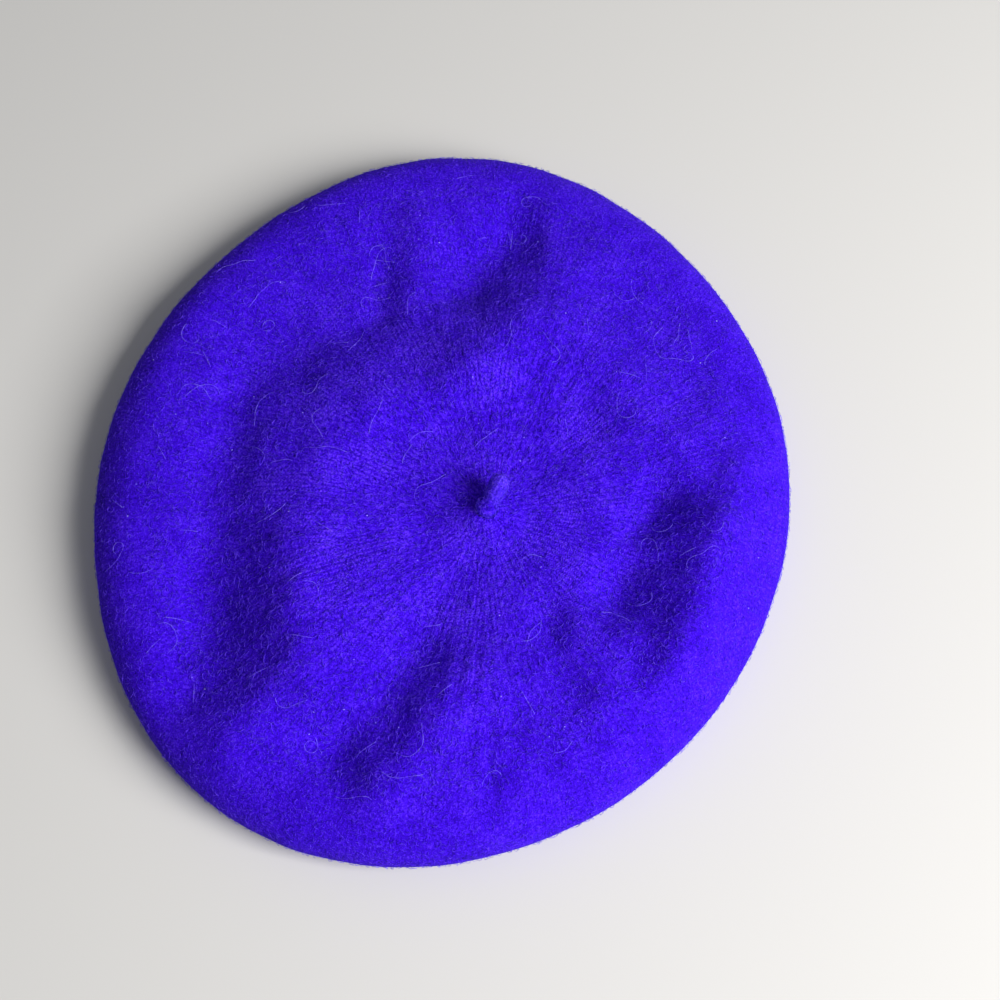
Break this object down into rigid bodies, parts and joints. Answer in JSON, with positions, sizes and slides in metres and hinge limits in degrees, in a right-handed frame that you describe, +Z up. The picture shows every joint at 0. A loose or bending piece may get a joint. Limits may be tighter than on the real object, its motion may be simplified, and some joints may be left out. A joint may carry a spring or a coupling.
{
  "type": "beret",
  "caption": "Round felted wool beret lying flat, crown slumped over its headband, with a short stem, ribbon sweatband and blank labels inside.",
  "frame": {"origin": "middle of the plan, on the surface that the beret lies on", "axes": "+Z up, out of the crown; +X to the right and +Y away as it lies with its stem leaning to the far right"},
  "size_m": [0.2669, 0.2962, 0.042],
  "materials": {
    "felt": "felted wool, blue-violet, matt with a short fuzz",
    "grosgrain": "ribbed ribbon, dark blue-violet",
    "sewing_thread": "twisted sewing thread, blue-violet",
    "label_satin": "woven satin, off-white, blank"
  },
  "bodies": {
    "beret": {"felt_body": "felt", "stem_anchor": "felt", "sweatband": "grosgrain", "sweatband_stitching": "sewing_thread", "sweatband_join_stitching": "sewing_thread", "size_label": "label_satin", "size_label_stitching": "sewing_thread", "care_label_stitching": "sewing_thread"},
    "stem": {"stem": "felt"},
    "care_label": {"care_label": "label_satin"}
  },
  "joints": [
    {"name": "stem_lean", "type": "hinge", "parent": "beret", "child": "stem", "pos_m": [0.01676, -0.02264, 0.0332], "axis": [0.8387, -0.5446, 0], "range_deg": [-4, 107], "stiffness_Nm_per_rad": 0.01},
    {"name": "care_label_flip", "type": "hinge", "parent": "beret", "child": "care_label", "pos_m": [0.0386, 0.0589, 0.01765], "axis": [-0.9659, 0.2588, 0], "range_deg": [0, 100]}
  ]
}
